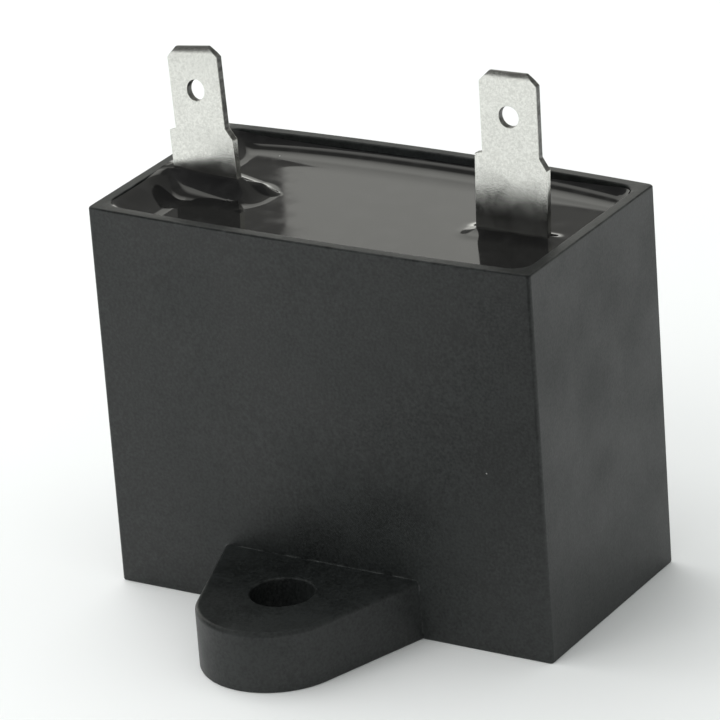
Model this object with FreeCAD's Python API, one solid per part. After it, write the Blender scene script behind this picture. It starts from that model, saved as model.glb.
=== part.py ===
import FreeCAD, Part
import math
import os

from FreeCAD import Placement, Rotation, Vector

# A motor run capacitor: a moulded box with a fixing ear, filled with resin round one
# flattened film winding, with two push-on blades that stand out of the resin.
# Lengths are in millimetres and angles in degrees. The origin is the middle of the
# underside, +Z is up, +X runs along the long side and the ear points along -Y.

# Case
case_length = 50.5
case_width = 25.6
case_height = 41.3
wall = 1.2
floor_thickness = 1.8
front_bow = 0.6
back_bow = 1.05
corner_radius = 0.4
foot_chamfer = 0.25
rim_chamfer = 0.25
cavity_corner_radius = 2.0
cavity_foot_chamfer = 1.0

# Fixing ear on the front, level with the underside
ear_height = 6.5
ear_offset = -0.8
ear_root_width = 22.7
ear_reach = 17.1
ear_nose_radius = 7.7
ear_edge_radius = 0.5
ear_hole_reach = 7.5
ear_hole_diameter = 6.5
ear_hole_lip = 0.2

# Resin fill
resin_recess = 1.7
wall_climb = 0.9
wall_climb_reach = 0.9
left_blade_climb = 1.8
left_blade_climb_reach = 2.4
right_blade_climb = 0.8
right_blade_climb_reach = 0.8
climb_lip = 0.05
lump_radius = 2.1
lump_height = 0.7
lump_along = 6.0
lump_back = 0.4

# Blade terminals, one stamping used twice
blade_width = 6.35
blade_thickness = 0.8
blade_length = 8.4
blade_hole_diameter = 2.2
blade_hole_from_tip = 4.5
tip_corner = 1.1
tip_bevel_length = 0.75
tip_bevel_depth = 0.2
shoulder_width = 8.0
square_shoulder_drop = 0.2
sloped_shoulder_drop = 1.2
body_depth = 10.5
leg_width = 3.6
leg_length = 2.0

# Where the blades stand: distance from the case's end, height of the shoulder over
# the resin, lean towards -X, tilt towards +Y and turn about Z
left_from_end = 5.75
left_rise = 6.3
left_lean = 8.0
left_tilt = 7.0
left_turn = -5.3
right_from_end = 8.75
right_rise = 8.2
right_lean = 0.8
right_tilt = 3.0
right_turn = 0.5

# Film winding and its sprayed ends
winding_floor_gap = 1.2
winding_head_room = 9.6
winding_side_gap = 2.8
winding_end_gap = 3.2
spray_thickness = 1.2
spray_margin = 0.2

# Lead wires and solder joints
lead_diameter = 0.8
lead_bend_radius = 0.9
lead_foot_height = 14.0
lead_over_winding = 1.0
lead_lap = 2.6
lead_past_middle = 0.6
solder_gap = 0.1
end_joint_radius = 2.6
end_joint_top_radius = 1.7
end_joint_height = 1.6
end_joint_over_foot = 5.0
leg_joint_radius = 1.15
leg_joint_length = 2.0

# Values that follow from the sizes above
cavity_length = case_length - 2 * wall
cavity_width = case_width - 2 * wall
resin_level = case_height - resin_recess
winding_length = cavity_length - 2 * winding_end_gap
winding_width = cavity_width - 2 * winding_side_gap
winding_bottom = floor_thickness + winding_floor_gap
winding_top = resin_level - winding_head_room
lead_radius = lead_diameter / 2
left_x = left_from_end - case_length / 2
right_x = case_length / 2 - right_from_end

# Flat steps that the hollow curve of the climbing resin is made of
climb_steps = 4

# Room that a cutting or trimming solid reaches past what it cuts
spare = 10.0
# Two heights closer than this are the same height
same = 0.001


def bowed_side(half, bow, corner):
    """Return a bowed side's round corner: its centre and where it meets the side.

    The side runs along X from -half to half and swells by bow towards +Y.
    """
    if bow == 0:
        return Vector(half - corner, -corner, 0), Vector(half - corner, 0, 0)
    bend = (half ** 2 + bow ** 2) / (2 * bow)
    bend_centre = Vector(0, bow - bend, 0)
    drop = math.sqrt((bend - corner) ** 2 - (half - corner) ** 2)
    centre = Vector(half - corner, bend_centre.y + drop, 0)
    touch = bend_centre + (centre - bend_centre) * (bend / (bend - corner))
    return centre, touch


def half_outline(x, y, bow, corner):
    """Return the edges of one long side and its two round corners, right to left."""
    centre, touch = bowed_side(x, bow, corner)
    foot = centre + Vector(corner, 0, 0)
    bulge = ((foot - centre) + (touch - centre)).normalize() * corner
    middle = centre + bulge
    points = [foot, middle, touch, Vector(0, bow, 0)]
    right = [point + Vector(0, y, 0) for point in points]
    left = [Vector(-point.x, point.y, 0) for point in right]
    if bow == 0:
        side = Part.makeLine(right[2], left[2])
    else:
        side = Part.Arc(right[2], right[3], left[2]).toShape()
    first = Part.Arc(right[0], right[1], right[2]).toShape()
    last = Part.Arc(left[2], left[1], left[0]).toShape()
    return [first, side, last], right[0], left[0]


def case_outline(inset, height, corner):
    """Return the case's outline at a height, drawn in by inset on every side."""
    x = case_length / 2 - inset
    y = case_width / 2 - inset
    share = height / case_height
    back, back_right, back_left = half_outline(x, y, back_bow * share, corner)
    front, front_left, front_right = half_outline(x, y, front_bow * share, corner)
    half_turn = Placement(Vector(0, 0, 0), Rotation(Vector(0, 0, 1), 180))
    for edge in front:
        edge.Placement = half_turn
    front_left = Vector(-x, -front_left.y, 0)
    front_right = Vector(x, -front_right.y, 0)
    left = Part.makeLine(back_left, front_left)
    right = Part.makeLine(front_right, back_right)
    outline = Part.Wire(back + [left] + front + [right])
    outline.translate(Vector(0, 0, height))
    return outline


def case_block(inset, corner, steps):
    """Return a bowed block; each step is a height and how far the block draws in there."""
    sections = [case_outline(inset + more, height, corner - more) for height, more in steps]
    return Part.makeLoft(sections, True, True)


def edges_at(shape, height):
    """Return the edges of a shape that lie flat at one height."""
    found = []
    for edge in shape.Edges:
        heights = [point.z for point in edge.discretize(3)]
        if max(heights) - height < same and height - min(heights) < same:
            found.append(edge)
    return found


def ear_outline():
    """Return the ear's outline at the underside, from inside the wall to the nose."""
    face_y = -case_width / 2
    nose_reach = ear_reach - ear_nose_radius
    centre = Vector(ear_offset, face_y - nose_reach, 0)
    root = Vector(ear_root_width / 2, nose_reach, 0)
    swing = math.acos(ear_nose_radius / root.Length)
    angle = math.atan2(root.y, root.x) - swing
    touch = Vector(math.cos(angle), math.sin(angle), 0) * ear_nose_radius
    right = [
        Vector(root.x, root.y + wall, 0),
        root,
        touch,
    ]
    left = [Vector(-point.x, point.y, 0) for point in reversed(right)]
    nose = Part.Arc(touch, Vector(0, -ear_nose_radius, 0), left[0]).toShape()
    edges = [Part.makeLine(right[0], right[1]), Part.makeLine(right[1], right[2]), nose]
    edges += [Part.makeLine(left[0], left[1]), Part.makeLine(left[1], left[2])]
    edges.append(Part.makeLine(left[2], right[0]))
    outline = Part.Wire(edges)
    outline.translate(centre)
    return outline


def ear():
    """Return the fixing ear with its round edges and its screw hole."""
    solid = Part.Face(ear_outline()).extrude(Vector(0, 0, ear_height))
    inner_y = wall - case_width / 2
    outer = []
    for edge in edges_at(solid, ear_height):
        if edge.BoundBox.YMin < inner_y - same:
            outer.append(edge)
    solid = solid.makeFillet(ear_edge_radius, outer)
    hole_foot = Vector(ear_offset, -case_width / 2 - ear_hole_reach, -spare)
    hole = Part.makeCylinder(ear_hole_diameter / 2, ear_height + 2 * spare, hole_foot)
    solid = solid.cut(hole)
    lip = []
    for edge in edges_at(solid, ear_height):
        if abs(edge.BoundBox.XLength - ear_hole_diameter) < same:
            lip.append(edge)
    return solid.makeChamfer(ear_hole_lip, lip)


def cavity():
    """Return the space inside the case, open upwards past the rim."""
    steps = [
        (floor_thickness, cavity_foot_chamfer),
        (floor_thickness + cavity_foot_chamfer, 0),
        (case_height + spare, 0),
    ]
    return case_block(wall, cavity_corner_radius, steps)


def case():
    """Return the moulded case: the bowed box, its rim and its ear in one piece."""
    steps = [
        (0, foot_chamfer),
        (foot_chamfer, 0),
        (case_height - rim_chamfer, 0),
        (case_height, rim_chamfer),
    ]
    shell = case_block(0, corner_radius, steps)
    shell = shell.fuse(ear()).removeSplitter()
    return shell.cut(cavity())


def blade_frame(x, rise, lean, tilt, turn):
    """Return the placement of a terminal: its shoulder line's middle and its turns."""
    rotation = Rotation(Vector(0, 0, 1), turn)
    rotation = rotation.multiply(Rotation(Vector(1, 0, 0), -tilt))
    rotation = rotation.multiply(Rotation(Vector(0, 1, 0), -lean))
    return Placement(Vector(x, 0, resin_level + rise), rotation)


left_frame = blade_frame(left_x, left_rise, left_lean, left_tilt, left_turn)
right_frame = blade_frame(right_x, right_rise, right_lean, right_tilt, right_turn)
frames = {"left": left_frame, "right": right_frame}
blade_climbs = {
    "left": (left_blade_climb, left_blade_climb_reach),
    "right": (right_blade_climb, right_blade_climb_reach),
}


def terminal_outline():
    """Return the stamping's outline in its own plane, with its shoulders at zero."""
    blade = blade_width / 2
    shoulder = shoulder_width / 2
    leg = leg_width / 2
    points = [
        (-leg, -body_depth - leg_length),
        (leg, -body_depth - leg_length),
        (leg, -body_depth),
        (shoulder, -body_depth),
        (shoulder, -sloped_shoulder_drop),
        (blade, 0),
        (blade, blade_length - tip_corner),
        (blade - tip_corner, blade_length),
        (tip_corner - blade, blade_length),
        (-blade, blade_length - tip_corner),
        (-blade, 0),
        (-shoulder, -square_shoulder_drop),
        (-shoulder, -body_depth),
        (-leg, -body_depth),
    ]
    corners = [Vector(x, 0, z) for x, z in points]
    return Part.makePolygon(corners + [corners[0]])


def tip_wedge():
    """Return the wedge that bevels the front of the blade's tip."""
    foot = blade_length - tip_bevel_length
    top = blade_length + tip_bevel_length
    slope = 2 * tip_bevel_depth
    half = blade_width
    points = [
        Vector(-half, 0, foot),
        Vector(-half, slope, top),
        Vector(-half, -slope, top),
        Vector(-half, -slope, foot),
    ]
    face = Part.Face(Part.makePolygon(points + [points[0]]))
    return face.extrude(Vector(2 * half, 0, 0))


def terminal(frame):
    """Return one blade terminal at its place, with its bevelled tip and its hole."""
    solid = Part.Face(terminal_outline()).extrude(Vector(0, blade_thickness, 0))
    front_wedge = tip_wedge()
    middle = Vector(0, blade_thickness / 2, 0)
    back_wedge = front_wedge.mirror(middle, Vector(0, 1, 0))
    hole_foot = Vector(0, -spare, blade_length - blade_hole_from_tip)
    hole = Part.makeCylinder(blade_hole_diameter / 2, 2 * spare, hole_foot, Vector(0, 1, 0))
    solid = solid.cut([front_wedge, back_wedge, hole])
    return solid.transformShape(frame.toMatrix(), True)


def oval_face(x, margin):
    """Return the winding's oval section at x, drawn in by margin."""
    radius = winding_width / 2 - margin
    low = winding_bottom + margin + radius
    high = winding_top - margin - radius
    right_low = Vector(x, radius, low)
    right_high = Vector(x, radius, high)
    left_low = Vector(x, -radius, low)
    left_high = Vector(x, -radius, high)
    edges = [
        Part.makeLine(right_low, right_high),
        Part.Arc(right_high, Vector(x, 0, high + radius), left_high).toShape(),
        Part.makeLine(left_high, left_low),
        Part.Arc(left_low, Vector(x, 0, low - radius), right_low).toShape(),
    ]
    return Part.Face(Part.Wire(edges))


def film_winding():
    """Return the flattened roll of film between its two sprayed ends."""
    film_length = winding_length - 2 * spray_thickness
    return oval_face(-film_length / 2, 0).extrude(Vector(film_length, 0, 0))


def spray(side):
    """Return the metal sprayed on one end of the winding; side is -1 or 1."""
    start = side * (winding_length / 2 - spray_thickness)
    return oval_face(start, spray_margin).extrude(Vector(side * spray_thickness, 0, 0))


def lead_route(side, frame):
    """Return the corner points of a lead, from the sprayed end across the leg's back.

    The corner lies in the plane in which the wire runs past the leg.
    """
    off_leg = blade_thickness + solder_gap + lead_radius
    tip_z = lead_lap - body_depth - leg_length
    tip = frame.multVec(Vector(-side * lead_past_middle, off_leg, tip_z))
    normal = frame.Rotation.multVec(Vector(0, 1, 0))
    corner = Vector(0, 0, winding_top + lead_over_winding)
    corner.x = side * (winding_length / 2 + solder_gap + lead_radius)
    across = normal.x * (corner.x - tip.x) + normal.z * (corner.z - tip.z)
    corner.y = tip.y - across / normal.y
    foot = Vector(corner.x, corner.y, winding_bottom + lead_foot_height)
    return [foot, corner, tip]


def lead(points):
    """Return the tinned wire along its route, with a round bend at the corner."""
    foot, corner, tip = points
    arriving = (corner - foot).normalize()
    leaving = (tip - corner).normalize()
    turn = arriving.getAngle(leaving)
    trim = lead_bend_radius * math.tan(turn / 2)
    bend_start = corner - arriving * trim
    bend_end = corner + leaving * trim
    inward = (leaving - arriving).normalize()
    bend_middle = corner + inward * lead_bend_radius * (1 / math.cos(turn / 2) - 1)
    path = Part.Wire([
        Part.makeLine(foot, bend_start),
        Part.Arc(bend_start, bend_middle, bend_end).toShape(),
        Part.makeLine(bend_end, tip),
    ])
    circle = Part.makeCircle(lead_radius, foot, arriving)
    return path.makePipe(Part.Face(Part.Wire(circle)))


def end_joint(side, route, wire):
    """Return the solder that holds a lead on its sprayed end."""
    height = route[0].z + end_joint_over_foot
    foot = Vector(side * winding_length / 2, route[0].y, height)
    pad = Part.makeCone(
        end_joint_radius, end_joint_top_radius, end_joint_height, foot, Vector(side, 0, 0)
    )
    return pad.cut(wire)


def leg_joint(route, blade, wire):
    """Return the solder that holds a lead against its terminal's leg."""
    tip = route[-1]
    back = (route[-2] - tip).normalize()
    start = tip + back * (lead_lap - leg_joint_length) / 2
    bead = Part.makeCylinder(leg_joint_radius, leg_joint_length, start, back)
    return bead.cut([blade, wire])


def lump():
    """Return the ball whose top stands out of the resin beside the left terminal."""
    radius = (lump_radius ** 2 + lump_height ** 2) / (2 * lump_height)
    centre_z = resin_level + lump_height - radius
    return Part.makeSphere(radius, Vector(left_x + lump_along, lump_back, centre_z))


def climb_curve(climb, reach):
    """Return the hollow curve up what the resin wets: each height and distance off it."""
    curve = []
    for step in range(climb_steps + 1):
        angle = math.pi / 2 * step / climb_steps
        height = resin_level + climb * (1 - math.cos(angle))
        curve.append((height, climb_lip + reach * (1 - math.sin(angle))))
    return curve


def pool_air():
    """Return the air over the resin, with the hollow curve all round its foot."""
    steps = climb_curve(wall_climb, wall_climb_reach)
    steps.append((case_height + spare, climb_lip))
    return case_block(wall, cavity_corner_radius, steps)


def body_outline(frame, height, margin):
    """Return the outline round a terminal's body at a height, margin away from it."""
    up = frame.Rotation.multVec(Vector(0, 0, 1))
    centre = frame.multVec(Vector(0, blade_thickness / 2, 0))
    centre += up * ((height - centre.z) / up.z)
    across = frame.Rotation.multVec(Vector(1, 0, 0))
    turn = math.degrees(math.atan2(across.y, across.x))
    x = shoulder_width / 2 + margin
    y = blade_thickness / 2 + margin
    corners = [Vector(-x, -y, 0), Vector(x, -y, 0), Vector(x, y, 0), Vector(-x, y, 0)]
    outline = Part.makePolygon(corners + [corners[0]])
    outline.Placement = Placement(centre, Rotation(Vector(0, 0, 1), turn))
    return outline


def collar(frame, climb, reach):
    """Return the resin that climbs round one terminal, from a step under the pool."""
    curve = climb_curve(climb, reach)
    curve.insert(0, (resin_level - climb, curve[0][1]))
    sections = [body_outline(frame, height, margin) for height, margin in curve]
    return Part.makeLoft(sections, True, True)


def potting_resin(inner_pieces):
    """Return the resin fill with its climbing edges, cut out for the pieces in it."""
    above = Part.makeBox(case_length, case_width + 2 * spare, 2 * spare)
    above.translate(Vector(-case_length / 2, -case_width / 2 - spare, resin_level + wall_climb))
    inside = cavity()
    fill = inside.cut([above, pool_air()])
    for name, frame in frames.items():
        climb, reach = blade_climbs[name]
        fill = fill.fuse(collar(frame, climb, reach).common(inside))
    fill = fill.fuse(lump()).removeSplitter()
    return fill.cut(inner_pieces)


def build():
    """Return every piece of the capacitor by its name."""
    pieces = {"film_winding": film_winding()}
    for name, side in (("left", -1), ("right", 1)):
        frame = frames[name]
        blade = terminal(frame)
        route = lead_route(side, frame)
        wire = lead(route)
        pieces["terminal_" + name] = blade
        pieces["end_spray_" + name] = spray(side)
        pieces["lead_wire_" + name] = wire
        pieces["end_solder_" + name] = end_joint(side, route, wire)
        pieces["leg_solder_" + name] = leg_joint(route, blade, wire)
    pieces["potting_resin"] = potting_resin(list(pieces.values()))
    pieces["case"] = case()
    return pieces


os.makedirs("parts", exist_ok=True)
for node, shape in build().items():
    shape.exportStep("parts/" + node + ".step")
    print(node, len(shape.Solids), shape.isValid(), round(shape.Volume, 2))
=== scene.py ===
"""Looks of the motor run capacitor: moulded box, cast resin and two tinned blades.

Lengths are in metres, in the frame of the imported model: the origin is the middle of
the underside, +Z is up, +X runs along the long side and the ear points along -Y.
"""

import logging
import math
from collections.abc import Callable, Iterable
from dataclasses import dataclass
from enum import Enum

import bmesh
import bpy
from mathutils import Matrix, Quaternion, Vector


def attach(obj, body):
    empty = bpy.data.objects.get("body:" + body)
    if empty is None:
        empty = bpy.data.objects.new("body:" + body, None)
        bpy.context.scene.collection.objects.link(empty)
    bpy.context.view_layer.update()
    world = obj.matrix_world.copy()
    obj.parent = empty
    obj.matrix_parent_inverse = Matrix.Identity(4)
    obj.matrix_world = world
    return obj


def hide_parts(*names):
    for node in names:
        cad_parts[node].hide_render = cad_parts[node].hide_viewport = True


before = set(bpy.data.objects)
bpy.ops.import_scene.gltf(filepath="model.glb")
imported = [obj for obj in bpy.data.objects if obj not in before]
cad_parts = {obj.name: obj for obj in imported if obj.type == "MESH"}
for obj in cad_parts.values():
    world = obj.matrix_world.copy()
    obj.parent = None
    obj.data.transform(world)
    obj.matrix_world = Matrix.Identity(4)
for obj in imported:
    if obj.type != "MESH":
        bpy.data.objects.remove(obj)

MM = 0.001
ROOT = "root"
# Two lengths nearer than this count as one.
SAME = 1e-6
# A face lies level if the Z of its direction is over LEVEL, and stands if under WALL.
LEVEL = 0.9
WALL = 0.5
# The bright middle of a speck, as a share of the speck.
SPECK_CORE = 0.6

Triple = tuple[float, float, float]
Colour = Triple
Span = tuple[float, float]
Socket = bpy.types.NodeSocket

log = logging.getLogger("capacitor")


class Side(Enum):
    """The two ends of the box, by the word that names a piece there."""

    LEFT = "left"
    RIGHT = "right"


class Pick(Enum):
    """What an edit selects, by the name of its list in the mesh."""

    VERTS = "verts"
    EDGES = "edges"
    FACES = "faces"


# Shaping a mesh by hand


def clear() -> None:
    """Leave edit mode and select nothing."""
    active = bpy.context.view_layer.objects.active
    if active and active.mode != "OBJECT":
        bpy.ops.object.mode_set(mode="OBJECT")
    bpy.ops.object.select_all(action="DESELECT")


class Workpiece:
    """One mesh object while it is being shaped with the edit tools."""

    def __init__(self, obj: bpy.types.Object) -> None:
        """Take the object in hand."""
        self.obj = obj

    def hold(self) -> None:
        """Select this object alone and make it the active one."""
        clear()
        self.obj.select_set(True)
        bpy.context.view_layer.objects.active = self.obj

    def edit(self) -> None:
        """Enter edit mode with this object alone."""
        if self.obj.mode != "EDIT":
            self.hold()
            bpy.ops.object.mode_set(mode="EDIT")

    def pick(
        self, kind: Pick, test: Callable[[object], bool] = lambda item: True
    ) -> None:
        """Select, in edit mode, only what passes a test.

        Args:
            kind: whether points, edges or faces are tested.
            test: says whether one of them is wanted. Without it all of them are.
        """
        self.edit()
        modes = (kind is Pick.VERTS, kind is Pick.EDGES, kind is Pick.FACES)
        bpy.context.tool_settings.mesh_select_mode = modes
        bpy.ops.mesh.select_all(action="DESELECT")
        mesh = bmesh.from_edit_mesh(self.obj.data)
        for item in getattr(mesh, kind.value):
            if test(item):
                item.select_set(True)
        mesh.select_flush_mode()
        bmesh.update_edit_mesh(self.obj.data)

    def slice(self, point: Vector, normal: Vector) -> None:
        """Cut new edges where a plane crosses the mesh, and keep both sides."""
        self.edit()
        bpy.ops.mesh.select_all(action="SELECT")
        bpy.ops.mesh.bisect(plane_co=point, plane_no=normal)

    def done(self) -> None:
        """Leave edit mode."""
        if self.obj.mode == "EDIT":
            bpy.ops.object.mode_set(mode="OBJECT")

    def settle(self) -> None:
        """Put the object's place, turn and size into its mesh."""
        self.hold()
        bpy.ops.object.transform_apply(location=True, rotation=True, scale=True)

    def modify(self, kind: str, **settings: object) -> None:
        """Add one modifier with its settings and apply it."""
        self.done()
        self.hold()
        bpy.ops.object.modifier_add(type=kind)
        modifier = self.obj.modifiers[-1]
        for name, value in settings.items():
            setattr(modifier, name, value)
        bpy.ops.object.modifier_apply(modifier=modifier.name)

    def combine(self, other: "Workpiece", operation: str) -> None:
        """Add another closed mesh to this one or cut it away, and drop the other."""
        other.done()
        self.modify("BOOLEAN", operation=operation, object=other.obj, solver="EXACT")
        bpy.data.objects.remove(other.obj)

    def tidy(self, merge: float = 0.002 * MM) -> None:
        """Merge doubled points and point every face outwards."""
        self.pick(Pick.VERTS)
        bpy.ops.mesh.remove_doubles(threshold=merge)
        bpy.ops.mesh.normals_make_consistent(inside=False)
        self.done()

    def smooth(self, angle: float) -> None:
        """Shade the mesh smooth, except over edges sharper than an angle."""
        self.done()
        self.hold()
        bpy.ops.object.shade_smooth_by_angle(angle=math.radians(angle))


def box(name: str, low: Vector, high: Vector) -> Workpiece:
    """Return a new box between two corners."""
    clear()
    bpy.ops.mesh.primitive_cube_add(size=1, location=(low + high) / 2)
    piece = Workpiece(bpy.context.object)
    piece.obj.name = name
    piece.obj.scale = high - low
    piece.settle()
    return piece


def rod(name: str, radius: float, start: Vector, end: Vector, sides: int) -> Workpiece:
    """Return a new closed cylinder from one point to another."""
    along = end - start
    clear()
    bpy.ops.mesh.primitive_cylinder_add(
        vertices=sides, radius=radius, depth=along.length, location=(start + end) / 2
    )
    piece = Workpiece(bpy.context.object)
    piece.obj.name = name
    piece.obj.rotation_mode = "QUATERNION"
    piece.obj.rotation_quaternion = along.to_track_quat("Z", "Y")
    piece.settle()
    return piece


def extrude(step: Vector | Triple) -> None:
    """Draw what is selected out by a step."""
    bpy.ops.mesh.extrude_region_move(TRANSFORM_OT_translate={"value": step})


def bevel(width: float, segments: int) -> None:
    """Round the selected edges, or cut them straight with one segment."""
    bpy.ops.mesh.bevel(offset=width, segments=segments, affect="EDGES")


# Finishes


class Nodes:
    """A node tree while it is being built."""

    def __init__(self, tree: bpy.types.NodeTree) -> None:
        """Take a tree in hand and empty it."""
        self.tree = tree
        self.tree.nodes.clear()

    def add(self, kind: str, **settings: object) -> bpy.types.Node:
        """Return a new node with its settings."""
        node = self.tree.nodes.new(kind)
        for name, value in settings.items():
            setattr(node, name, value)
        return node

    def join(self, start: Socket, end: Socket) -> None:
        """Link one socket to another."""
        self.tree.links.new(start, end)

    def ramp(
        self, source: Socket, low: float, high: float, start: float = 0.0,
        end: float = 1.0,
    ) -> Socket:
        """Return a value stretched from low..high to start..end, and held there."""
        node = self.add("ShaderNodeMapRange", clamp=True)
        names = ("From Min", "From Max", "To Min", "To Max")
        for name, value in zip(names, (low, high, start, end)):
            node.inputs[name].default_value = value
        self.join(source, node.inputs["Value"])
        return node.outputs["Result"]


class Paint(Nodes):
    """A material's node tree while it is being built."""

    def __init__(self, name: str) -> None:
        """Start a material with a shader, an output and the object's coordinates."""
        self.material = bpy.data.materials.new(name)
        self.material.use_nodes = True
        super().__init__(self.material.node_tree)
        self.shader = self.add("ShaderNodeBsdfPrincipled")
        output = self.add("ShaderNodeOutputMaterial")
        self.join(self.shader.outputs["BSDF"], output.inputs["Surface"])
        self.place = self.add("ShaderNodeTexCoord").outputs["Object"]

    def set(self, **values: float | tuple[float, float, float, float]) -> None:
        """Set constants on the shader, whose names have _ for each space."""
        for name, value in values.items():
            self.shader.inputs[name.replace("_", " ")].default_value = value

    def noise(
        self,
        grain: float,
        detail: float = 2.0,
        squeeze: Triple | None = None,
    ) -> Socket:
        """Return noise whose grains have a size in metres.

        Args:
            grain: the size of one grain.
            detail: how many finer layers are added.
            squeeze: how much the pattern is squeezed along each axis.

        Returns:
            The noise, from 0 to 1.
        """
        texture = self.add("ShaderNodeTexNoise")
        texture.inputs["Scale"].default_value = 1 / grain
        texture.inputs["Detail"].default_value = detail
        source = self.place
        if squeeze:
            mapping = self.add("ShaderNodeMapping")
            mapping.inputs["Scale"].default_value = squeeze
            self.join(self.place, mapping.inputs["Vector"])
            source = mapping.outputs["Vector"]
        self.join(source, texture.inputs["Vector"])
        return texture.outputs[0]

    def math(self, operation: str, first: Socket, *others: Socket | float) -> Socket:
        """Return the sum or product of two or more values."""
        for other in others:
            node = self.add("ShaderNodeMath", operation=operation)
            self.join(first, node.inputs[0])
            if isinstance(other, float):
                node.inputs[1].default_value = other
            else:
                self.join(other, node.inputs[1])
            first = node.outputs[0]
        return first

    def blend(
        self, share: Socket, first: Socket | Colour, second: Socket | Colour
    ) -> Socket:
        """Return a colour between two, by a share."""
        node = self.add("ShaderNodeMix", data_type="RGBA")
        self.join(share, node.inputs[0])
        for socket, colour in ((node.inputs[6], first), (node.inputs[7], second)):
            if isinstance(colour, tuple):
                socket.default_value = (*colour, 1.0)
            else:
                self.join(colour, socket)
        return node.outputs[2]

    def bump(
        self, height: Socket, depth: float, under: Socket | None = None
    ) -> Socket:
        """Return the surface's direction with relief added.

        Args:
            height: the relief, from 0 to 1.
            depth: how deep the relief is, in metres.
            under: a coarser relief that this one lies on.

        Returns:
            The direction, for a shader's normal.
        """
        node = self.add("ShaderNodeBump")
        node.inputs["Distance"].default_value = depth
        self.join(height, node.inputs["Height"])
        if under:
            self.join(under, node.inputs["Normal"])
        return node.outputs["Normal"]

    def edges(self, radius: float, strength: float) -> Socket:
        """Return how near the surface is to an edge of its own, from 0 to 1."""
        round_edge = self.add("ShaderNodeBevel", samples=4)
        round_edge.inputs["Radius"].default_value = radius
        flat = self.add("ShaderNodeNewGeometry")
        dot = self.add("ShaderNodeVectorMath", operation="DOT_PRODUCT")
        self.join(round_edge.outputs["Normal"], dot.inputs[0])
        self.join(flat.outputs["Normal"], dot.inputs[1])
        return self.ramp(dot.outputs["Value"], 1.0, 1.0 - strength)

    def specks(self, spacing: float, size: float) -> Socket:
        """Return sparse round specks, 1 on a speck and 0 between them."""
        cells = self.add("ShaderNodeTexVoronoi")
        cells.inputs["Scale"].default_value = 1 / spacing
        self.join(self.place, cells.inputs["Vector"])
        core = SPECK_CORE * size / spacing
        return self.ramp(cells.outputs["Distance"], size / spacing, core)

    def finish(self, base: Socket, rough: Socket, relief: Socket) -> bpy.types.Material:
        """Return the material with its colour, roughness and relief joined."""
        self.join(base, self.shader.inputs["Base Color"])
        self.join(rough, self.shader.inputs["Roughness"])
        self.join(relief, self.shader.inputs["Normal"])
        return self.material


@dataclass(frozen=True)
class MouldedPlastic:
    """Matt charcoal plastic with a fine spark-eroded grain.

    A span, here and in the finishes below, is the part of a pattern over which one
    look turns into the next.
    """

    colour: Colour = (0.0064, 0.0074, 0.0071)
    pale: Colour = (0.02, 0.0226, 0.022)
    pale_span: Span = (1.2, 1.8)
    # Paler colour on the edges: rubbed wear, and a painted highlight along the rims and
    # rounded edges.
    worn_and_highlight: Colour = (0.1, 0.105, 0.102)
    worn_and_highlight_span: Span = (0.42, 0.62)
    dust: Colour = (0.35, 0.35, 0.34)
    dust_spacing: float = 9 * MM
    dust_size: float = 0.12 * MM
    gloss: float = 0.42
    dull: float = 0.56
    dull_span: Span = (0.35, 0.65)
    edge_width: float = 0.35 * MM
    edge_turn: float = 0.4
    grain: float = 0.16 * MM
    grain_depth: float = 0.012 * MM
    fleck: float = 0.3 * MM
    fleck_weight: float = 1.6
    mottle: float = 1.4 * MM
    mottle_weight: float = 0.4
    mottle_depth: float = 0.02 * MM
    cloud: float = 9 * MM

    def make(self) -> bpy.types.Material:
        """Return the material."""
        paint = Paint("moulded_plastic")
        grain = paint.noise(self.grain, detail=2.0)
        mottle = paint.noise(self.mottle, detail=4.0)
        cloud = paint.noise(self.cloud, detail=3.0)
        fleck = paint.noise(self.fleck, detail=3.0)
        tone = paint.math(
            "ADD",
            paint.math("MULTIPLY", mottle, self.mottle_weight),
            cloud,
            paint.math("MULTIPLY", fleck, self.fleck_weight),
        )
        base = paint.blend(paint.ramp(tone, *self.pale_span), self.colour, self.pale)
        # The edges are painted paler in patches: partly rubbed wear, partly a painted
        # highlight on the rims and rounded edges.
        scuff_and_highlight = paint.ramp(mottle, *self.worn_and_highlight_span)
        edge = paint.edges(self.edge_width, self.edge_turn)
        base = paint.blend(paint.math("MULTIPLY", edge, scuff_and_highlight), base, self.worn_and_highlight)
        dust = paint.specks(self.dust_spacing, self.dust_size)
        base = paint.blend(dust, base, self.dust)
        rough = paint.ramp(cloud, *self.dull_span, self.gloss, self.dull)
        relief = paint.bump(mottle, self.mottle_depth)
        relief = paint.bump(grain, self.grain_depth, relief)
        return paint.finish(base, rough, relief)


@dataclass(frozen=True)
class CastResin:
    """Glossy black resin with slow waves in its skin and a little dust on it."""

    colour: Colour = (0.004, 0.004, 0.0042)
    film: Colour = (0.012, 0.012, 0.012)
    film_span: Span = (0.5, 0.75)
    dust: Colour = (0.3, 0.3, 0.29)
    dust_spacing: float = 6 * MM
    dust_size: float = 0.09 * MM
    gloss: float = 0.03
    dull: float = 0.1
    dull_span: Span = (0.4, 0.7)
    haze: float = 2.5 * MM
    wave: float = 5 * MM
    wave_depth: float = 0.004 * MM

    def make(self) -> bpy.types.Material:
        """Return the material."""
        paint = Paint("cast_resin")
        wave = paint.noise(self.wave, detail=1.0)
        haze = paint.noise(self.haze, detail=5.0)
        base = paint.blend(paint.ramp(haze, *self.film_span), self.colour, self.film)
        dust = paint.specks(self.dust_spacing, self.dust_size)
        base = paint.blend(dust, base, self.dust)
        rough = paint.ramp(haze, *self.dull_span, self.gloss, self.dull)
        return paint.finish(base, rough, paint.bump(wave, self.wave_depth))


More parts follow.
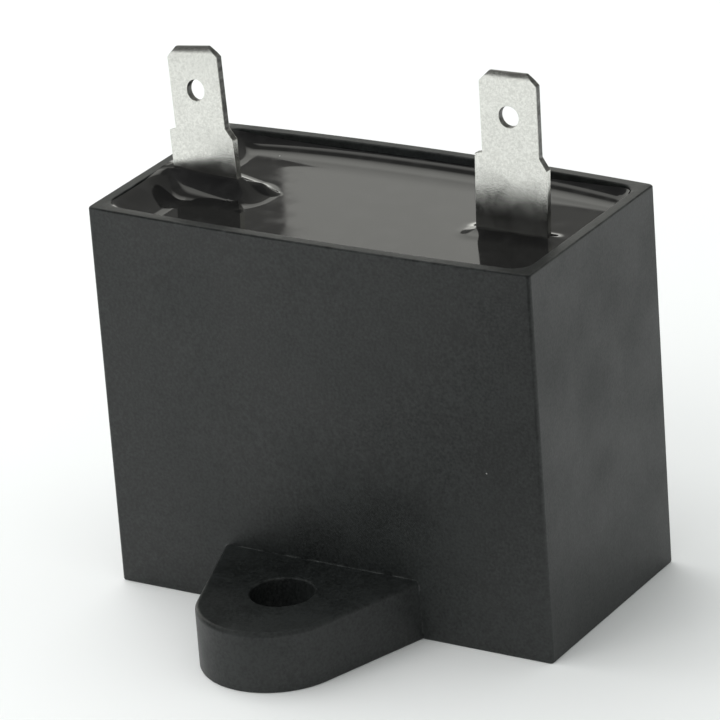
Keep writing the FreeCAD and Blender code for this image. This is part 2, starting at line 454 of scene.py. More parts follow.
@dataclass(frozen=True)
class TinPlate:
    """Satin tin plating on stamped brass, a little dull and smudged, with a painted
    highlight along its edges.
    """

    colour: Colour = (0.78, 0.78, 0.74)
    dark: Colour = (0.62, 0.62, 0.585)
    dark_span: Span = (1.05, 1.4)
    # The colour of the painted highlight along the edges.
    bright: Colour = (0.9, 0.9, 0.86)
    gloss: float = 0.15
    dull: float = 0.26
    dull_span: Span = (0.35, 0.65)
    edge_width: float = 0.12 * MM
    edge_turn: float = 0.3
    grain: float = 0.14 * MM
    grain_depth: float = 0.004 * MM
    fleck: float = 0.3 * MM
    streak: float = 1.0 * MM
    streak_squeeze: Triple = (9.0, 9.0, 0.7)
    streak_depth: float = 0.002 * MM
    smudge: float = 2.2 * MM
    smudge_weight: float = 0.5
    smudge_depth: float = 0.008 * MM

    def make(self) -> bpy.types.Material:
        """Return the material."""
        paint = Paint("tin_plate")
        paint.set(Metallic=1.0)
        grain = paint.noise(self.grain, detail=3.0)
        smudge = paint.noise(self.smudge, detail=5.0)
        streak = paint.noise(self.streak, detail=3.0, squeeze=self.streak_squeeze)
        fleck = paint.noise(self.fleck, detail=3.0)
        smudged = paint.math("MULTIPLY", smudge, self.smudge_weight)
        tone = paint.math("ADD", smudged, grain, fleck)
        base = paint.blend(paint.ramp(tone, *self.dark_span), self.dark, self.colour)
        # The edges are painted brighter: a painted highlight along the burrs.
        edge = paint.edges(self.edge_width, self.edge_turn)
        base = paint.blend(edge, base, self.bright)
        rough = paint.ramp(smudge, *self.dull_span, self.gloss, self.dull)
        relief = paint.bump(smudge, self.smudge_depth)
        relief = paint.bump(streak, self.streak_depth, relief)
        relief = paint.bump(grain, self.grain_depth, relief)
        return paint.finish(base, rough, relief)


@dataclass(frozen=True)
class ShearedEdge:
    """Dull grey edge that the press left, torn across the sheet's thickness."""

    colour: Colour = (0.3, 0.3, 0.29)
    dark: Colour = (0.12, 0.12, 0.115)
    dark_span: Span = (0.35, 0.7)
    gloss: float = 0.4
    dull: float = 0.6
    dull_span: Span = (0.3, 0.7)
    grain: float = 0.12 * MM
    grain_depth: float = 0.008 * MM
    tear: float = 0.35 * MM
    tear_squeeze: Triple = (1.0, 0.25, 1.0)
    tear_depth: float = 0.03 * MM

    def make(self) -> bpy.types.Material:
        """Return the material."""
        paint = Paint("sheared_edge")
        paint.set(Metallic=1.0)
        grain = paint.noise(self.grain, detail=3.0)
        tear = paint.noise(self.tear, detail=4.0, squeeze=self.tear_squeeze)
        base = paint.blend(paint.ramp(tear, *self.dark_span), self.dark, self.colour)
        rough = paint.ramp(grain, *self.dull_span, self.gloss, self.dull)
        relief = paint.bump(tear, self.tear_depth)
        relief = paint.bump(grain, self.grain_depth, relief)
        return paint.finish(base, rough, relief)


@dataclass(frozen=True)
class RoughMetal:
    """Sprayed, wound or soldered metal on the pieces inside the resin."""

    name: str
    colour: Colour
    dark: Colour
    rough: float
    grain: float
    depth: float
    rough_range: float = 0.08
    rough_span: Span = (0.3, 0.7)
    stain: float = 12
    stain_span: Span = (0.35, 0.65)

    def make(self) -> bpy.types.Material:
        """Return the material, whose stains are larger than its grains."""
        paint = Paint(self.name)
        paint.set(Metallic=1.0)
        grain = paint.noise(self.grain, detail=4.0)
        stain = paint.noise(self.stain * self.grain, detail=3.0)
        base = paint.blend(paint.ramp(stain, *self.stain_span), self.dark, self.colour)
        gloss, dull = self.rough - self.rough_range, self.rough + self.rough_range
        rough = paint.ramp(grain, *self.rough_span, gloss, dull)
        return paint.finish(base, rough, paint.bump(grain, self.depth))


def dress(obj: bpy.types.Object, material: bpy.types.Material) -> None:
    """Give an object one material and no other."""
    obj.data.materials.clear()
    obj.data.materials.append(material)


# The case


@dataclass
class Case:
    """The moulded box, open at the top, with its fixing ear."""

    length: float = 50.5 * MM
    width: float = 25.6 * MM
    height: float = 41.3 * MM
    wall: float = 1.2 * MM
    floor: float = 1.8 * MM
    front_bow: float = 0.6 * MM
    back_bow: float = 1.05 * MM
    corner: float = 0.4 * MM
    cavity_corner: float = 2.0 * MM
    rim_round: float = 0.22 * MM
    lip_round: float = 0.18 * MM
    foot_round: float = 0.2 * MM
    slices: int = 24
    ear_height: float = 6.5 * MM
    ear_offset: float = -0.8 * MM
    ear_root: float = 22.7 * MM
    ear_reach: float = 17.1 * MM
    nose: float = 7.7 * MM
    nose_sides: int = 128
    ear_round: float = 0.5 * MM
    hole_reach: float = 7.5 * MM
    hole: float = 6.5 * MM
    hole_lip: float = 0.2 * MM
    ear_overlap: float = 0.8
    corner_segments: int = 8
    rim_segments: int = 4
    foot_segments: int = 2
    ear_segments: int = 5
    lip_segments: int = 4
    hole_sides: int = 96
    sharp: float = 35.0

    def block(self, inset: float, bottom: float, corner: float) -> Workpiece:
        """Return a bowed box drawn in by inset, with round upright edges."""
        x = self.length / 2 - inset
        y = self.width / 2 - inset
        piece = box("block", Vector((-x, -y, bottom)), Vector((x, y, self.height)))
        across = Vector((1, 0, 0))
        stations = [x * (2 * step / self.slices - 1) for step in range(1, self.slices)]
        for station in stations:
            piece.slice(Vector((station, 0, 0)), across)
        for station in stations:
            share = 1 - (station / x) ** 2
            for side, bow in ((-1, self.front_bow), (1, self.back_bow)):

                def here(vert: bmesh.types.BMVert) -> bool:
                    """Say whether a point is the rim's at this station and side."""
                    at_rim = vert.co.z > self.height - SAME and vert.co.y * side > 0
                    return at_rim and abs(vert.co.x - station) < SAME

                piece.pick(Pick.VERTS, here)
                bpy.ops.transform.translate(value=(0, side * bow * share, 0))
        piece.pick(
            Pick.EDGES,
            lambda edge: all(abs(abs(v.co.x) - x) < SAME for v in edge.verts)
            and abs(edge.verts[0].co.z - edge.verts[1].co.z) > SAME,
        )
        bevel(corner, self.corner_segments)
        piece.done()
        return piece

    def at_height(self, height: float) -> Callable[[object], bool]:
        """Return a test for the edges and faces that lie flat at one height."""
        return lambda item: all(abs(v.co.z - height) < SAME for v in item.verts)

    def shell(self) -> Workpiece:
        """Return the walls and floor: two blocks, one inside out, bridged on top."""
        outer = self.block(0, 0, self.corner)
        inner = self.block(self.wall, self.floor, self.cavity_corner)
        inner.pick(Pick.FACES)
        bpy.ops.mesh.flip_normals()
        for piece in (outer, inner):
            piece.pick(Pick.FACES, self.at_height(self.height))
            bpy.ops.mesh.delete(type="ONLY_FACE")
            piece.pick(
                Pick.EDGES,
                lambda edge: self.at_height(self.height)(edge) and not edge.link_faces,
            )
            bpy.ops.mesh.delete(type="EDGE")
            piece.done()
        outer.hold()
        inner.obj.select_set(True)
        bpy.ops.object.join()
        outer.pick(Pick.EDGES, self.at_height(self.height))
        bpy.ops.mesh.bridge_edge_loops()
        self.round_rim(outer)
        outer.pick(
            Pick.EDGES,
            lambda edge: self.at_height(0)(edge) and len(edge.link_faces) == 2
            and any(abs(face.normal.z) < WALL for face in edge.link_faces),
        )
        bevel(self.foot_round, self.foot_segments)
        outer.done()
        return outer

    def round_rim(self, piece: Workpiece) -> None:
        """Round the rim's outer and inner edges."""
        for inner, radius in ((False, self.rim_round), (True, self.lip_round)):

            def on_rim(edge: bmesh.types.BMEdge) -> bool:
                """Say whether an edge is the rim's on the side being rounded."""
                if not self.at_height(self.height)(edge) or len(edge.link_faces) != 2:
                    return False
                walls = [face for face in edge.link_faces if abs(face.normal.z) < WALL]
                if len(walls) != 1:
                    return False
                middle = (edge.verts[0].co + edge.verts[1].co) / 2
                outwards = Vector((middle.x, middle.y * self.length / self.width, 0))
                return (walls[0].normal.dot(outwards) < 0) == inner

            piece.pick(Pick.EDGES, on_rim)
            bevel(radius, self.rim_segments)

    def ear(self) -> Workpiece:
        """Return the fixing ear: a round nose whose sides widen to the wall."""
        face_y = -self.width / 2
        centre = Vector((self.ear_offset, face_y - self.ear_reach + self.nose, 0))
        root = Vector((self.ear_root / 2, self.ear_reach - self.nose, 0))
        angle = math.atan2(root.y, root.x) - math.acos(self.nose / root.length)
        clear()
        bpy.ops.mesh.primitive_circle_add(
            vertices=self.nose_sides, radius=self.nose, location=centre
        )
        piece = Workpiece(bpy.context.object)
        piece.settle()
        limit = centre.y + self.nose * math.sin(angle)
        piece.pick(Pick.VERTS, lambda vert: vert.co.y > limit)
        bpy.ops.mesh.delete(type="VERT")
        for side in (-1, 1):
            piece.pick(
                Pick.VERTS,
                lambda vert: len(vert.link_edges) == 1
                and vert.co.x * side > centre.x * side,
            )
            mesh = bmesh.from_edit_mesh(piece.obj.data)
            end = next(vert.co.copy() for vert in mesh.verts if vert.select)
            corner = Vector((centre.x + side * root.x, face_y, 0))
            for step in (corner - end, Vector((0, self.wall * self.ear_overlap, 0))):
                extrude(step)
        piece.pick(Pick.EDGES)
        bpy.ops.mesh.edge_face_add()
        piece.pick(Pick.FACES)
        extrude((0, 0, self.ear_height))
        piece.tidy()
        for height, radius, segments in (
            (self.ear_height, self.ear_round, self.ear_segments),
            (0, self.foot_round, self.foot_segments),
        ):
            piece.pick(
                Pick.EDGES,
                lambda edge: self.at_height(height)(edge)
                and min(v.co.y for v in edge.verts) < face_y + SAME,
            )
            bevel(radius, segments)
        piece.combine(self.hole_cutter(), "DIFFERENCE")
        return piece

    def hole_cutter(self) -> Workpiece:
        """Return the tool that cuts the screw hole and rounds its upper lip."""
        spare = 2 * MM
        y = -self.width / 2 - self.hole_reach
        low = Vector((self.ear_offset, y, -spare))
        high = Vector((self.ear_offset, y, self.ear_height - self.hole_lip))
        cutter = rod("hole", self.hole / 2, low, high, self.hole_sides)

        def top(face: bmesh.types.BMFace) -> bool:
            """Say whether a face is the cutter's upper end."""
            return face.normal.z > LEVEL and face.calc_center_median().z > 0

        radius = self.hole / 2
        rounds = self.lip_segments
        for step in range(1, rounds + 1):
            turn = math.pi / 2 * step / rounds
            before = math.pi / 2 * (step - 1) / rounds
            rise = self.hole_lip * (math.sin(turn) - math.sin(before))
            flare = radius + self.hole_lip * (1 - math.cos(turn))
            was = radius + self.hole_lip * (1 - math.cos(before))
            cutter.pick(Pick.FACES, top)
            extrude((0, 0, rise))
            bpy.ops.transform.resize(value=(flare / was, flare / was, 1))
        cutter.pick(Pick.FACES, top)
        extrude((0, 0, spare))
        cutter.done()
        return cutter

    def make(self, finish: MouldedPlastic) -> bpy.types.Object:
        """Return the finished case."""
        body = self.shell()
        body.combine(self.ear(), "UNION")
        body.tidy()
        body.smooth(self.sharp)
        body.modify("WEIGHTED_NORMAL", keep_sharp=True)
        body.obj.name = "case_shell"
        dress(body.obj, finish.make())
        return body.obj


# The terminals


@dataclass
class Terminal:
    """One push-on blade, stamped, bevelled at its tip and standing in the resin."""

    side: Side
    along: float
    rise: float
    lean: float
    tilt: float
    turn: float
    climb: float
    left_reach: float
    right_reach: float
    bend: float
    level: float = 39.6 * MM
    width: float = 6.35 * MM
    thickness: float = 0.8 * MM
    length: float = 8.4 * MM
    hole: float = 2.2 * MM
    hole_from_tip: float = 4.5 * MM
    tip_corner: float = 1.1 * MM
    tip_bevel: float = 0.75 * MM
    tip_thin: float = 0.2 * MM
    shoulder: float = 8.0 * MM
    square_drop: float = 0.2 * MM
    sloped_drop: float = 1.2 * MM
    body: float = 10.5 * MM
    leg_width: float = 3.6 * MM
    leg_length: float = 2.0 * MM
    burr: float = 0.05 * MM
    sheared: float = 0.35
    hole_sides: int = 64
    burr_segments: int = 2
    burr_angle: float = 25.0
    flat: float = 0.5
    sharp: float = 30.0

    def place(self) -> Matrix:
        """Return where the stamping stands, with its shoulders at zero height."""
        turns = Quaternion((0, 0, 1), math.radians(self.turn))
        turns = turns @ Quaternion((1, 0, 0), math.radians(-self.tilt))
        turns = turns @ Quaternion((0, 1, 0), math.radians(-self.lean))
        spot = Vector((self.along, 0, self.level + self.rise))
        return Matrix.Translation(spot) @ turns.to_matrix().to_4x4()

    def forward(self, height: float) -> float:
        """Return how far the bend under the shoulders moves a height along Y."""
        return min(height, 0) * math.tan(math.radians(self.bend))

    def blank(self) -> Workpiece:
        """Return the flat stamping before its holes and bevels."""
        shoulder = self.shoulder / 2
        blade = self.width / 2
        leg = self.leg_width / 2
        low = Vector((-shoulder, 0, -self.body))
        high = Vector((shoulder, self.thickness, 0))
        piece = box("blank", low, high)
        for x in (-blade, -leg, leg, blade):
            piece.slice(Vector((x, 0, 0)), Vector((1, 0, 0)))
        for sign, height, half, length in (
            (1, 0, blade, self.length),
            (-1, -self.body, leg, self.leg_length),
        ):
            piece.pick(
                Pick.FACES,
                lambda face: face.normal.z * sign > LEVEL
                and abs(face.calc_center_median().z - height) < SAME
                and abs(face.calc_center_median().x) < half,
            )
            extrude((0, 0, sign * length))
        for sign, drop in ((-1, self.square_drop), (1, self.sloped_drop)):
            piece.pick(
                Pick.VERTS,
                lambda vert: abs(vert.co.z) < SAME and vert.co.x * sign > blade + SAME,
            )
            bpy.ops.transform.translate(value=(0, 0, -drop))
        piece.pick(
            Pick.EDGES,
            lambda edge: all(v.co.z > self.length - SAME for v in edge.verts)
            and all(abs(abs(v.co.x) - blade) < SAME for v in edge.verts)
            and edge.verts[0].co.x * edge.verts[1].co.x > 0,
        )
        bevel(self.tip_corner, 1)
        piece.slice(Vector((0, 0, self.length - self.tip_bevel)), Vector((0, 0, 1)))
        piece.pick(Pick.VERTS, lambda vert: vert.co.z > self.length - SAME)
        thinner = 1 - 2 * self.tip_thin / self.thickness
        middle = Vector((0, self.thickness / 2, self.length))
        bpy.ops.transform.resize(value=(1, thinner, 1), center_override=middle)
        piece.done()
        return piece

    def make(
        self, face: bpy.types.Material, edge: bpy.types.Material
    ) -> bpy.types.Object:
        """Return the finished terminal at its place.

        Args:
            face: the finish of the plated front and back.
            edge: the finish of the sheared edges and of the hole's wall.

        Returns:
            The terminal.
        """
        piece = self.blank()
        height = self.length - self.hole_from_tip
        start = Vector((0, -self.thickness, height))
        end = Vector((0, 2 * self.thickness, height))
        punch = rod("punch", self.hole / 2, start, end, self.hole_sides)
        piece.combine(punch, "DIFFERENCE")
        piece.pick(Pick.VERTS)
        bpy.ops.mesh.dissolve_limited(angle_limit=math.radians(self.flat))
        piece.tidy()
        piece.modify(
            "BEVEL", width=self.burr, segments=self.burr_segments, limit_method="ANGLE",
            angle_limit=math.radians(self.burr_angle),
        )
        piece.smooth(self.sharp)
        piece.modify("WEIGHTED_NORMAL", keep_sharp=True)
        dress(piece.obj, face)
        piece.obj.data.materials.append(edge)
        for polygon in piece.obj.data.polygons:
            torn = abs(polygon.normal.y) < self.sheared
            polygon.material_index = int(torn and polygon.center.z > -self.sloped_drop)
        for vert in piece.obj.data.vertices:
            vert.co.y += self.forward(vert.co.z)
        piece.obj.data.transform(self.place())
        piece.obj.name = "blade_" + self.side.value
        return piece.obj


# The resin


@dataclass
class Resin:
    """The cast fill, whose skin climbs the walls and the terminals that it wets."""

    case: Case
    terminals: list[Terminal]
    level: float = 39.6 * MM
    back_climb: float = 0.9 * MM
    corner_climb: float = 0.6 * MM
    front_climb: float = 1.2 * MM
    left_climb: float = 1.65 * MM
    right_climb: float = 0.35 * MM
    back_reach: float = 5.0 * MM
    front_reach: float = 2.0 * MM
    left_reach: float = 5.0 * MM
    right_reach: float = 2.0 * MM
    wall_top: float = 1.64 * MM
    wall_bend: float = 8.0
    fine: float = 0.05 * MM
    coarse: float = 0.45 * MM
    growth: float = 0.08
    hollow: float = 2.0
    brim: float = 1.9 * MM
    lump_x: float = -12.9 * MM
    lump_y: float = 0.6 * MM
    lump_length: float = 1.9 * MM
    lump_depth: float = 1.1 * MM
    lump_height: float = 0.7 * MM
    lump_tip: float = 0.08
    front_power: float = 2
    back_power: float = 3
    end_power: float = 1.6
    corner_power: float = 4
    merge: float = 0.0005 * MM
    sharp: float = 60.0

    def half(self) -> float:
        """Return half the length of the space that the resin fills."""
        return self.case.length / 2 - self.case.wall

    def sides(self, x: float, height: float) -> tuple[float, float]:
        """Return the Y of the front and back walls at a place and height."""
        share = height / self.case.height
        middle = 1 - (x / self.half()) ** 2
        y = self.case.width / 2 - self.case.wall
        corner = self.case.cavity_corner
        into = max(abs(x) - self.half() + corner, 0)
        cut = corner - math.sqrt(max(corner ** 2 - into ** 2, 0))
        front = -y - self.case.front_bow * share * middle + cut
        back = y + self.case.back_bow * share * middle - cut
        return front, back

    def off_terminal(self, x: float, y: float, terminal: Terminal) -> float:
        """Return how far a point is from a terminal, as a share of its reach."""
        point = terminal.place().inverted() @ Vector((x, y, self.level))
        across = max(abs(point.x) - terminal.shoulder / 2, 0)
        depth = point.y - terminal.forward(point.z)
        through = max(-depth, depth - terminal.thickness, 0)
        along = min(max(point.x / terminal.shoulder + 0.5, 0), 1)
        change = terminal.right_reach - terminal.left_reach
        reach = terminal.left_reach + along * change
        return math.hypot(across, through) / reach

    def climb(self, x: float, y: float) -> float:
        """Return the skin's height over its level at a point."""
        front, back = self.sides(x, self.level)
        corner = (x / self.half()) ** self.corner_power
        back_climb = self.back_climb + self.corner_climb * corner
        walls = math.hypot(*(
            climb * (1 - min(max(distance / reach, 0), 1)) ** power
            for climb, distance, reach, power in (
                (self.front_climb, y - front, self.front_reach, self.front_power),
                (back_climb, back - y, self.back_reach, self.back_power),
                (self.left_climb, self.half() + x, self.left_reach, self.end_power),
                (self.right_climb, self.half() - x, self.right_reach, self.end_power),
            )
        ))
        over = 1 + (walls / self.wall_top) ** self.wall_bend
        walls /= over ** (1 / self.wall_bend)
        climbs = [walls]
        for terminal in self.terminals:
            left = 1 - min(self.off_terminal(x, y, terminal), 1)
            climbs.append(terminal.climb * left ** self.hollow)
        lump = math.hypot(
            (x - self.lump_x) / self.lump_length,
            (y - self.lump_y) / self.lump_depth,
            self.lump_tip,
        )
        return min(math.hypot(*climbs) + self.lump_height * max(1 - lump, 0), self.brim)

    def stations(self, low: float, high: float, lines: Iterable[float]) -> list[float]:
        """Return places from low to high, close together near the lines."""
        places = [low]
        while places[-1] < high:
            nearest = min(abs(places[-1] - line) for line in lines)
            step = min(self.fine + self.growth * nearest, self.coarse)
            places.append(places[-1] + step)
        stretch = (high - low) / (places[-1] - low)
        return [low + (place - low) * stretch for place in places]

    def make(self, finish: CastResin) -> bpy.types.Object:
        """Return the finished fill, with its skin, sides and underside."""
        half = self.half()
        lines = [-half, half, self.lump_x]
        for terminal in self.terminals:
            lines += [terminal.along + end * terminal.shoulder / 2 for end in (-1, 1)]
        columns = self.stations(-half, half, lines)
        deep = self.case.width / 2 - self.case.wall
        rows = self.stations(-deep, deep, [-deep, deep, 0, self.lump_y])
        clear()
        bpy.ops.mesh.primitive_grid_add(
            x_subdivisions=len(columns) - 1, y_subdivisions=len(rows) - 1, size=2
        )
        piece = Workpiece(bpy.context.object)
        for vert in piece.obj.data.vertices:
            column = round((vert.co.x + 1) / 2 * (len(columns) - 1))
            row = round((vert.co.y + 1) / 2 * (len(rows) - 1))
            x = columns[column]
            front, back = self.sides(x, self.level)
            y = front + (back - front) * (rows[row] + deep) / (2 * deep)
            vert.co = (x, y, self.level + self.climb(x, y))
        piece.pick(Pick.EDGES, lambda edge: edge.is_boundary)
        bottom = self.case.floor - self.level
        extrude((0, 0, bottom))
        floor = (0, 0, self.case.floor)
        bpy.ops.transform.resize(value=(1, 1, 0), center_override=floor)
        bpy.ops.mesh.edge_face_add()
        mesh = bmesh.from_edit_mesh(piece.obj.data)
        for vert in mesh.verts:
            if vert.co.z < self.case.floor + SAME:
                front, back = self.sides(vert.co.x, self.level)
                low_front, low_back = self.sides(vert.co.x, self.case.floor)
                share = (vert.co.y - front) / (back - front)
                vert.co.y = low_front + (low_back - low_front) * share
        bmesh.update_edit_mesh(piece.obj.data)
        piece.tidy(self.merge)
        piece.smooth(self.sharp)
        piece.obj.name = "resin_pool"
        dress(piece.obj, finish.make())
        return piece.obj


# The pieces inside the resin


INNER_FINISHES = {
    ("film_winding",): RoughMetal(
        name="wound_film", colour=(0.62, 0.63, 0.66), dark=(0.5, 0.51, 0.54),
        rough=0.25, grain=0.3 * MM, depth=0.01 * MM,
    ),
    ("end_spray",): RoughMetal(
        name="sprayed_zinc", colour=(0.42, 0.42, 0.42), dark=(0.3, 0.3, 0.3),
        rough=0.7, grain=0.2 * MM, depth=0.08 * MM,
    ),
    ("lead_wire",): RoughMetal(
        name="tinned_wire", colour=(0.7, 0.7, 0.68), dark=(0.6, 0.6, 0.58),
        rough=0.25, grain=0.2 * MM, depth=0.01 * MM,
    ),
    ("end_solder", "leg_solder"): RoughMetal(
        name="solder", colour=(0.6, 0.6, 0.59), dark=(0.48, 0.48, 0.47),
        rough=0.35, grain=0.4 * MM, depth=0.04 * MM,
    ),
}


def dress_inner_pieces() -> None:
    """Give the winding, its sprayed ends, the wires and the solder their finishes."""
    for starts, finish in INNER_FINISHES.items():
        material = finish.make()
        for name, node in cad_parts.items():
            if name.startswith(starts):
                dress(node, material)
                log.info("%s is dressed", name)


# The studio


def only_mirrored(obj: bpy.types.Object, paint: Paint, tint: Colour) -> None:
    """Dress an object in light of its own, which only mirrored rays see."""
    paint.set(Base_Color=(0, 0, 0, 1), Specular_IOR_Level=0.0, Roughness=1.0)
    paint.set(Emission_Color=(*tint, 1))
    dress(obj, paint.material)
    obj.visible_camera = False
    obj.visible_diffuse = False
    obj.visible_shadow = False


@dataclass(frozen=True)
class WindowWall:
    """An upright wall behind the object that only mirrored rays see.

    It holds a bright window with a sharp left side. Above the height that level
    resin mirrors, the window leans to the left and a soft patch of light lies beside
    it. The far left of the wall is lighter, and a low band of light is for the rims.
    """

    back: float = 0.3
    left: float = -1.0
    right: float = 1.0
    top: float = 1.2
    tint: Colour = (1.0, 1.0, 0.94)
    plain_light: Span = (0.24, 0.36)
    plain_blur: float = 0.02
    window_left: float = -0.205
    left_blur: float = 0.0004
    window_right: float = -0.158
    right_blur: float = 0.004
    lean: float = 0.4
    lean_from: float = 0.2
    window_light: Span = (0.86, 0.9)
    window_rise: float = 0.05
    window_head: Span = (0.55, 0.4)
    patch_light: float = 0.6
    patch_foot: Span = (0.26, 0.32)
    patch_head: Span = (0.56, 0.48)
    patch_left: Span = (-0.42, -0.33)
    patch_right: Span = (-0.165, -0.2)
    side_light: float = 1.2
    side_edge: Span = (-0.42, -0.52)
    low_light: float = 1.4
    low_head: Span = (0.14, 0.1)
    low_right: Span = (0.05, 0.0)

    def light(self, paint: Paint) -> Socket:
        """Return how bright the wall is at each place."""
        parts = paint.add("ShaderNodeSeparateXYZ")
        paint.join(paint.place, parts.inputs[0])
        x, z = parts.outputs["X"], parts.outputs["Z"]
        left, right, foot = self.window_left, self.window_right, self.lean_from
        furthest = self.lean * (self.top - foot)
        past = paint.math("ADD", x, paint.ramp(z, foot, self.top, 0.0, furthest))
        opens = paint.ramp(past, left - self.left_blur, left + self.left_blur)
        shuts = paint.ramp(x, right + self.right_blur, right - self.right_blur)
        bright = paint.ramp(z, foot, foot + self.window_rise, *self.window_light)
        bright = paint.math("MULTIPLY", bright, paint.ramp(z, *self.window_head))
        window = paint.math("MULTIPLY", opens, shuts, bright)
        blur = self.plain_blur
        plain = paint.ramp(x, right - blur, right + blur, *self.plain_light)
        patch = paint.math(
            "MULTIPLY",
            paint.ramp(z, *self.patch_foot, 0.0, self.patch_light),
            paint.ramp(z, *self.patch_head),
            paint.ramp(x, *self.patch_left),
            paint.ramp(x, *self.patch_right),
        )
        side = paint.ramp(x, *self.side_edge, 0.0, self.side_light)
        low = paint.ramp(z, *self.low_head, 0.0, self.low_light)
        low = paint.math("MULTIPLY", low, paint.ramp(x, *self.low_right))
        return paint.math("ADD", plain, side, low, patch, window)

    def make(self) -> None:
        """Stand the wall up and light it."""
        clear()
        bpy.ops.mesh.primitive_plane_add(
            size=1,
            location=((self.left + self.right) / 2, self.back, self.top / 2),
            rotation=(math.pi / 2, 0, 0),
        )
        wall = Workpiece(bpy.context.object)
        wall.obj.name = "window_wall"
        wall.obj.scale = (self.right - self.left, self.top, 1)
        wall.settle()
        paint = Paint("window_wall")
        paint.join(self.light(paint), paint.shader.inputs["Emission Strength"])
        only_mirrored(wall.obj, paint, self.tint)


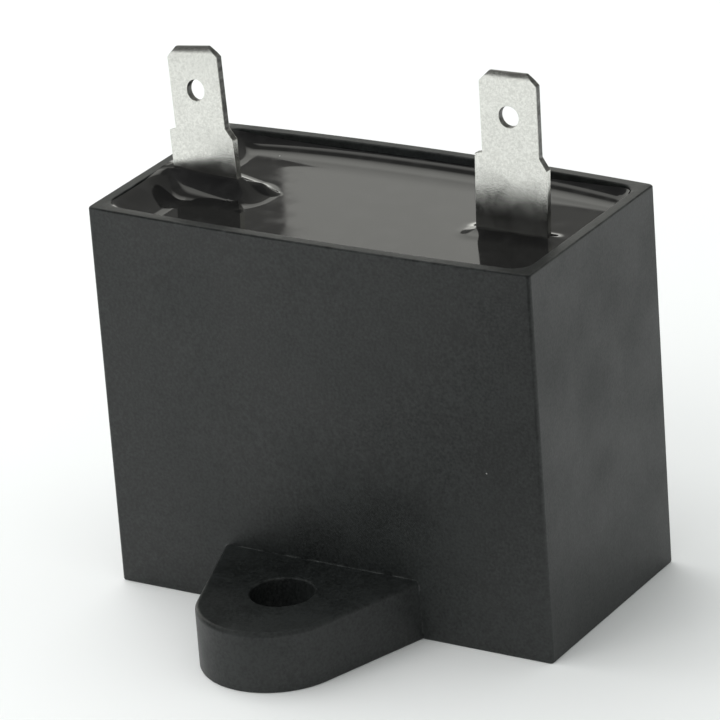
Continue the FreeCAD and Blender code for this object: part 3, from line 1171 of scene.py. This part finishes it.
@dataclass
class Studio:
    """A pale floor, soft lamps, cards that only reflections see, and the camera."""

    floor_size: float = 6.0
    floor_tint: Colour = (0.88, 0.885, 0.88)
    floor_rough: float = 0.9
    floor_shine: float = 0.2
    air: float = 0.7
    air_tint: Colour = (0.97, 1.0, 0.99)
    mirror_tint: Colour = (1, 1, 0.98)
    mirror_turn: Span = (-0.2, 0.5)
    front_air: float = 0.12
    back_air: float = 0.35
    key_spot: Triple = (-0.45, 0.12, 0.65)
    key_size: float = 1.0
    key_power: float = 4.2
    fill_spot: Triple = (-0.2, -0.6, 0.5)
    fill_size: float = 0.5
    fill_power: float = 1.35
    card_spot: Triple = (0.092, -0.2, 0.3 * MM)
    card_size: Triple = (0.21, 0.31, 1)
    card_light: float = 0.12
    azimuth: float = 32.264
    elevation: float = 22.959
    roll: float = -4.265
    distance: float = 528.91 * MM
    shift_right: float = -2.375 * MM
    shift_up: float = 3.212 * MM
    aim_height: float = 20 * MM
    lens: float = 261.79
    sensor: float = 36.0
    clip_start: float = 0.01

    def floor(self) -> None:
        """Lay the floor that the box stands on."""
        clear()
        bpy.ops.mesh.primitive_plane_add(size=self.floor_size, location=(0, 0, 0))
        plane = bpy.context.object
        plane.name = "floor"
        paint = Paint("pale_floor")
        paint.set(Base_Color=(*self.floor_tint, 1), Roughness=self.floor_rough)
        paint.set(Specular_IOR_Level=self.floor_shine)
        dress(plane, paint.material)

    def lamp(self, name: str, spot: Vector, size: float, power: float) -> None:
        """Hang a soft lamp that faces the object and that mirrored rays don't see."""
        data = bpy.data.lights.new(name, "AREA")
        data.shape = "RECTANGLE"
        data.size = data.size_y = size
        data.energy = power
        obj = bpy.data.objects.new(name, data)
        obj.location = spot
        aim = Vector((0, 0, self.aim_height))
        obj.rotation_euler = (aim - spot).to_track_quat("-Z", "Y").to_euler()
        obj.visible_glossy = False
        bpy.context.scene.collection.objects.link(obj)

    def world(self) -> None:
        """Set what each kind of ray finds where it meets no piece."""
        world = bpy.data.worlds.new("studio_air")
        world.use_nodes = True
        nodes = Nodes(world.node_tree)
        rays = nodes.add("ShaderNodeLightPath")
        way = nodes.add("ShaderNodeTexCoord")
        parts = nodes.add("ShaderNodeSeparateXYZ")
        nodes.join(way.outputs["Generated"], parts.inputs[0])
        air = nodes.add("ShaderNodeBackground")
        air.inputs["Color"].default_value = (*self.air_tint, 1)
        air.inputs["Strength"].default_value = self.air
        mirrored = nodes.add("ShaderNodeBackground")
        mirrored.inputs["Color"].default_value = (*self.mirror_tint, 1)
        behind = nodes.ramp(
            parts.outputs["Y"], *self.mirror_turn, self.front_air, self.back_air
        )
        nodes.join(behind, mirrored.inputs["Strength"])
        seen = nodes.add("ShaderNodeBackground")
        seen.inputs["Color"].default_value = (1, 1, 1, 1)
        seen.inputs["Strength"].default_value = 1.0
        shown = air.outputs[0]
        for ray, light in (("Is Glossy Ray", mirrored), ("Is Camera Ray", seen)):
            mix = nodes.add("ShaderNodeMixShader")
            nodes.join(rays.outputs[ray], mix.inputs[0])
            nodes.join(shown, mix.inputs[1])
            nodes.join(light.outputs[0], mix.inputs[2])
            shown = mix.outputs[0]
        output = nodes.add("ShaderNodeOutputWorld")
        nodes.join(shown, output.inputs["Surface"])
        bpy.context.scene.world = world

    def shade_card(self) -> None:
        """Lay a grey card on the floor that only mirrored rays see.

        It darkens the right end of the box's front, which mirrors the floor there.
        """
        clear()
        bpy.ops.mesh.primitive_plane_add(size=1, location=self.card_spot)
        card = Workpiece(bpy.context.object)
        card.obj.name = "shade_card"
        card.obj.scale = self.card_size
        card.settle()
        paint = Paint("shade_card")
        paint.set(Emission_Strength=self.card_light)
        only_mirrored(card.obj, paint, (1, 1, 1))

    def camera(self) -> None:
        """Set the camera where the photograph was taken from."""
        azimuth = math.radians(self.azimuth)
        elevation = math.radians(self.elevation)
        roll = math.radians(self.roll)
        back = Vector((
            math.sin(azimuth) * math.cos(elevation),
            -math.cos(azimuth) * math.cos(elevation),
            math.sin(elevation),
        ))
        right = (-back).cross(Vector((0, 0, 1))).normalized()
        up = right.cross(-back)
        across = right * math.cos(roll) + up * math.sin(roll)
        upwards = up * math.cos(roll) - right * math.sin(roll)
        spot = Vector((0, 0, self.aim_height)) + back * self.distance
        spot += across * self.shift_right + upwards * self.shift_up
        data = bpy.data.cameras.new("camera")
        data.lens = self.lens
        data.sensor_width = self.sensor
        data.clip_start = self.clip_start
        obj = bpy.data.objects.new("camera", data)
        turns = Matrix((across, upwards, back)).transposed().to_4x4()
        obj.matrix_world = Matrix.Translation(spot) @ turns
        bpy.context.scene.collection.objects.link(obj)
        bpy.context.scene.camera = obj

    def make(self) -> None:
        """Set up the floor, the air, the lamps, the cards and the camera."""
        self.floor()
        self.world()
        self.lamp("key", Vector(self.key_spot), self.key_size, self.key_power)
        self.lamp("fill", Vector(self.fill_spot), self.fill_size, self.fill_power)
        WindowWall().make()
        self.shade_card()
        self.camera()
        bpy.context.scene.view_settings.view_transform = "Standard"


def stand_for(obj: bpy.types.Object, node: str) -> None:
    """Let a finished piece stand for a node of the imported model."""
    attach(obj, ROOT)
    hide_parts(node)
    log.info("%s stands for %s", obj.name, node)


def main() -> None:
    """Build every piece in order and report it."""
    logging.basicConfig(level=logging.INFO, format="%(name)s: %(message)s")
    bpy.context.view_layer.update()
    Studio().make()
    case = Case()
    stand_for(case.make(MouldedPlastic()), "case")
    left = Terminal(
        side=Side.LEFT, along=-19.5 * MM, rise=6.3 * MM, lean=8.0, tilt=7.0, turn=-5.3,
        climb=1.8 * MM, left_reach=6.0 * MM, right_reach=3.6 * MM, bend=0.0,
    )
    right = Terminal(
        side=Side.RIGHT, along=16.5 * MM, rise=8.2 * MM, lean=0.8, tilt=3.0, turn=0.5,
        climb=0.35 * MM, left_reach=2.4 * MM, right_reach=2.0 * MM, bend=3.3,
    )
    face = TinPlate().make()
    edge = ShearedEdge().make()
    for terminal in (left, right):
        node = "terminal_" + terminal.side.value
        stand_for(terminal.make(face, edge), node)
    resin = Resin(case, [left, right])
    stand_for(resin.make(CastResin()), "potting_resin")
    dress_inner_pieces()


if __name__ == "__main__":
    main()
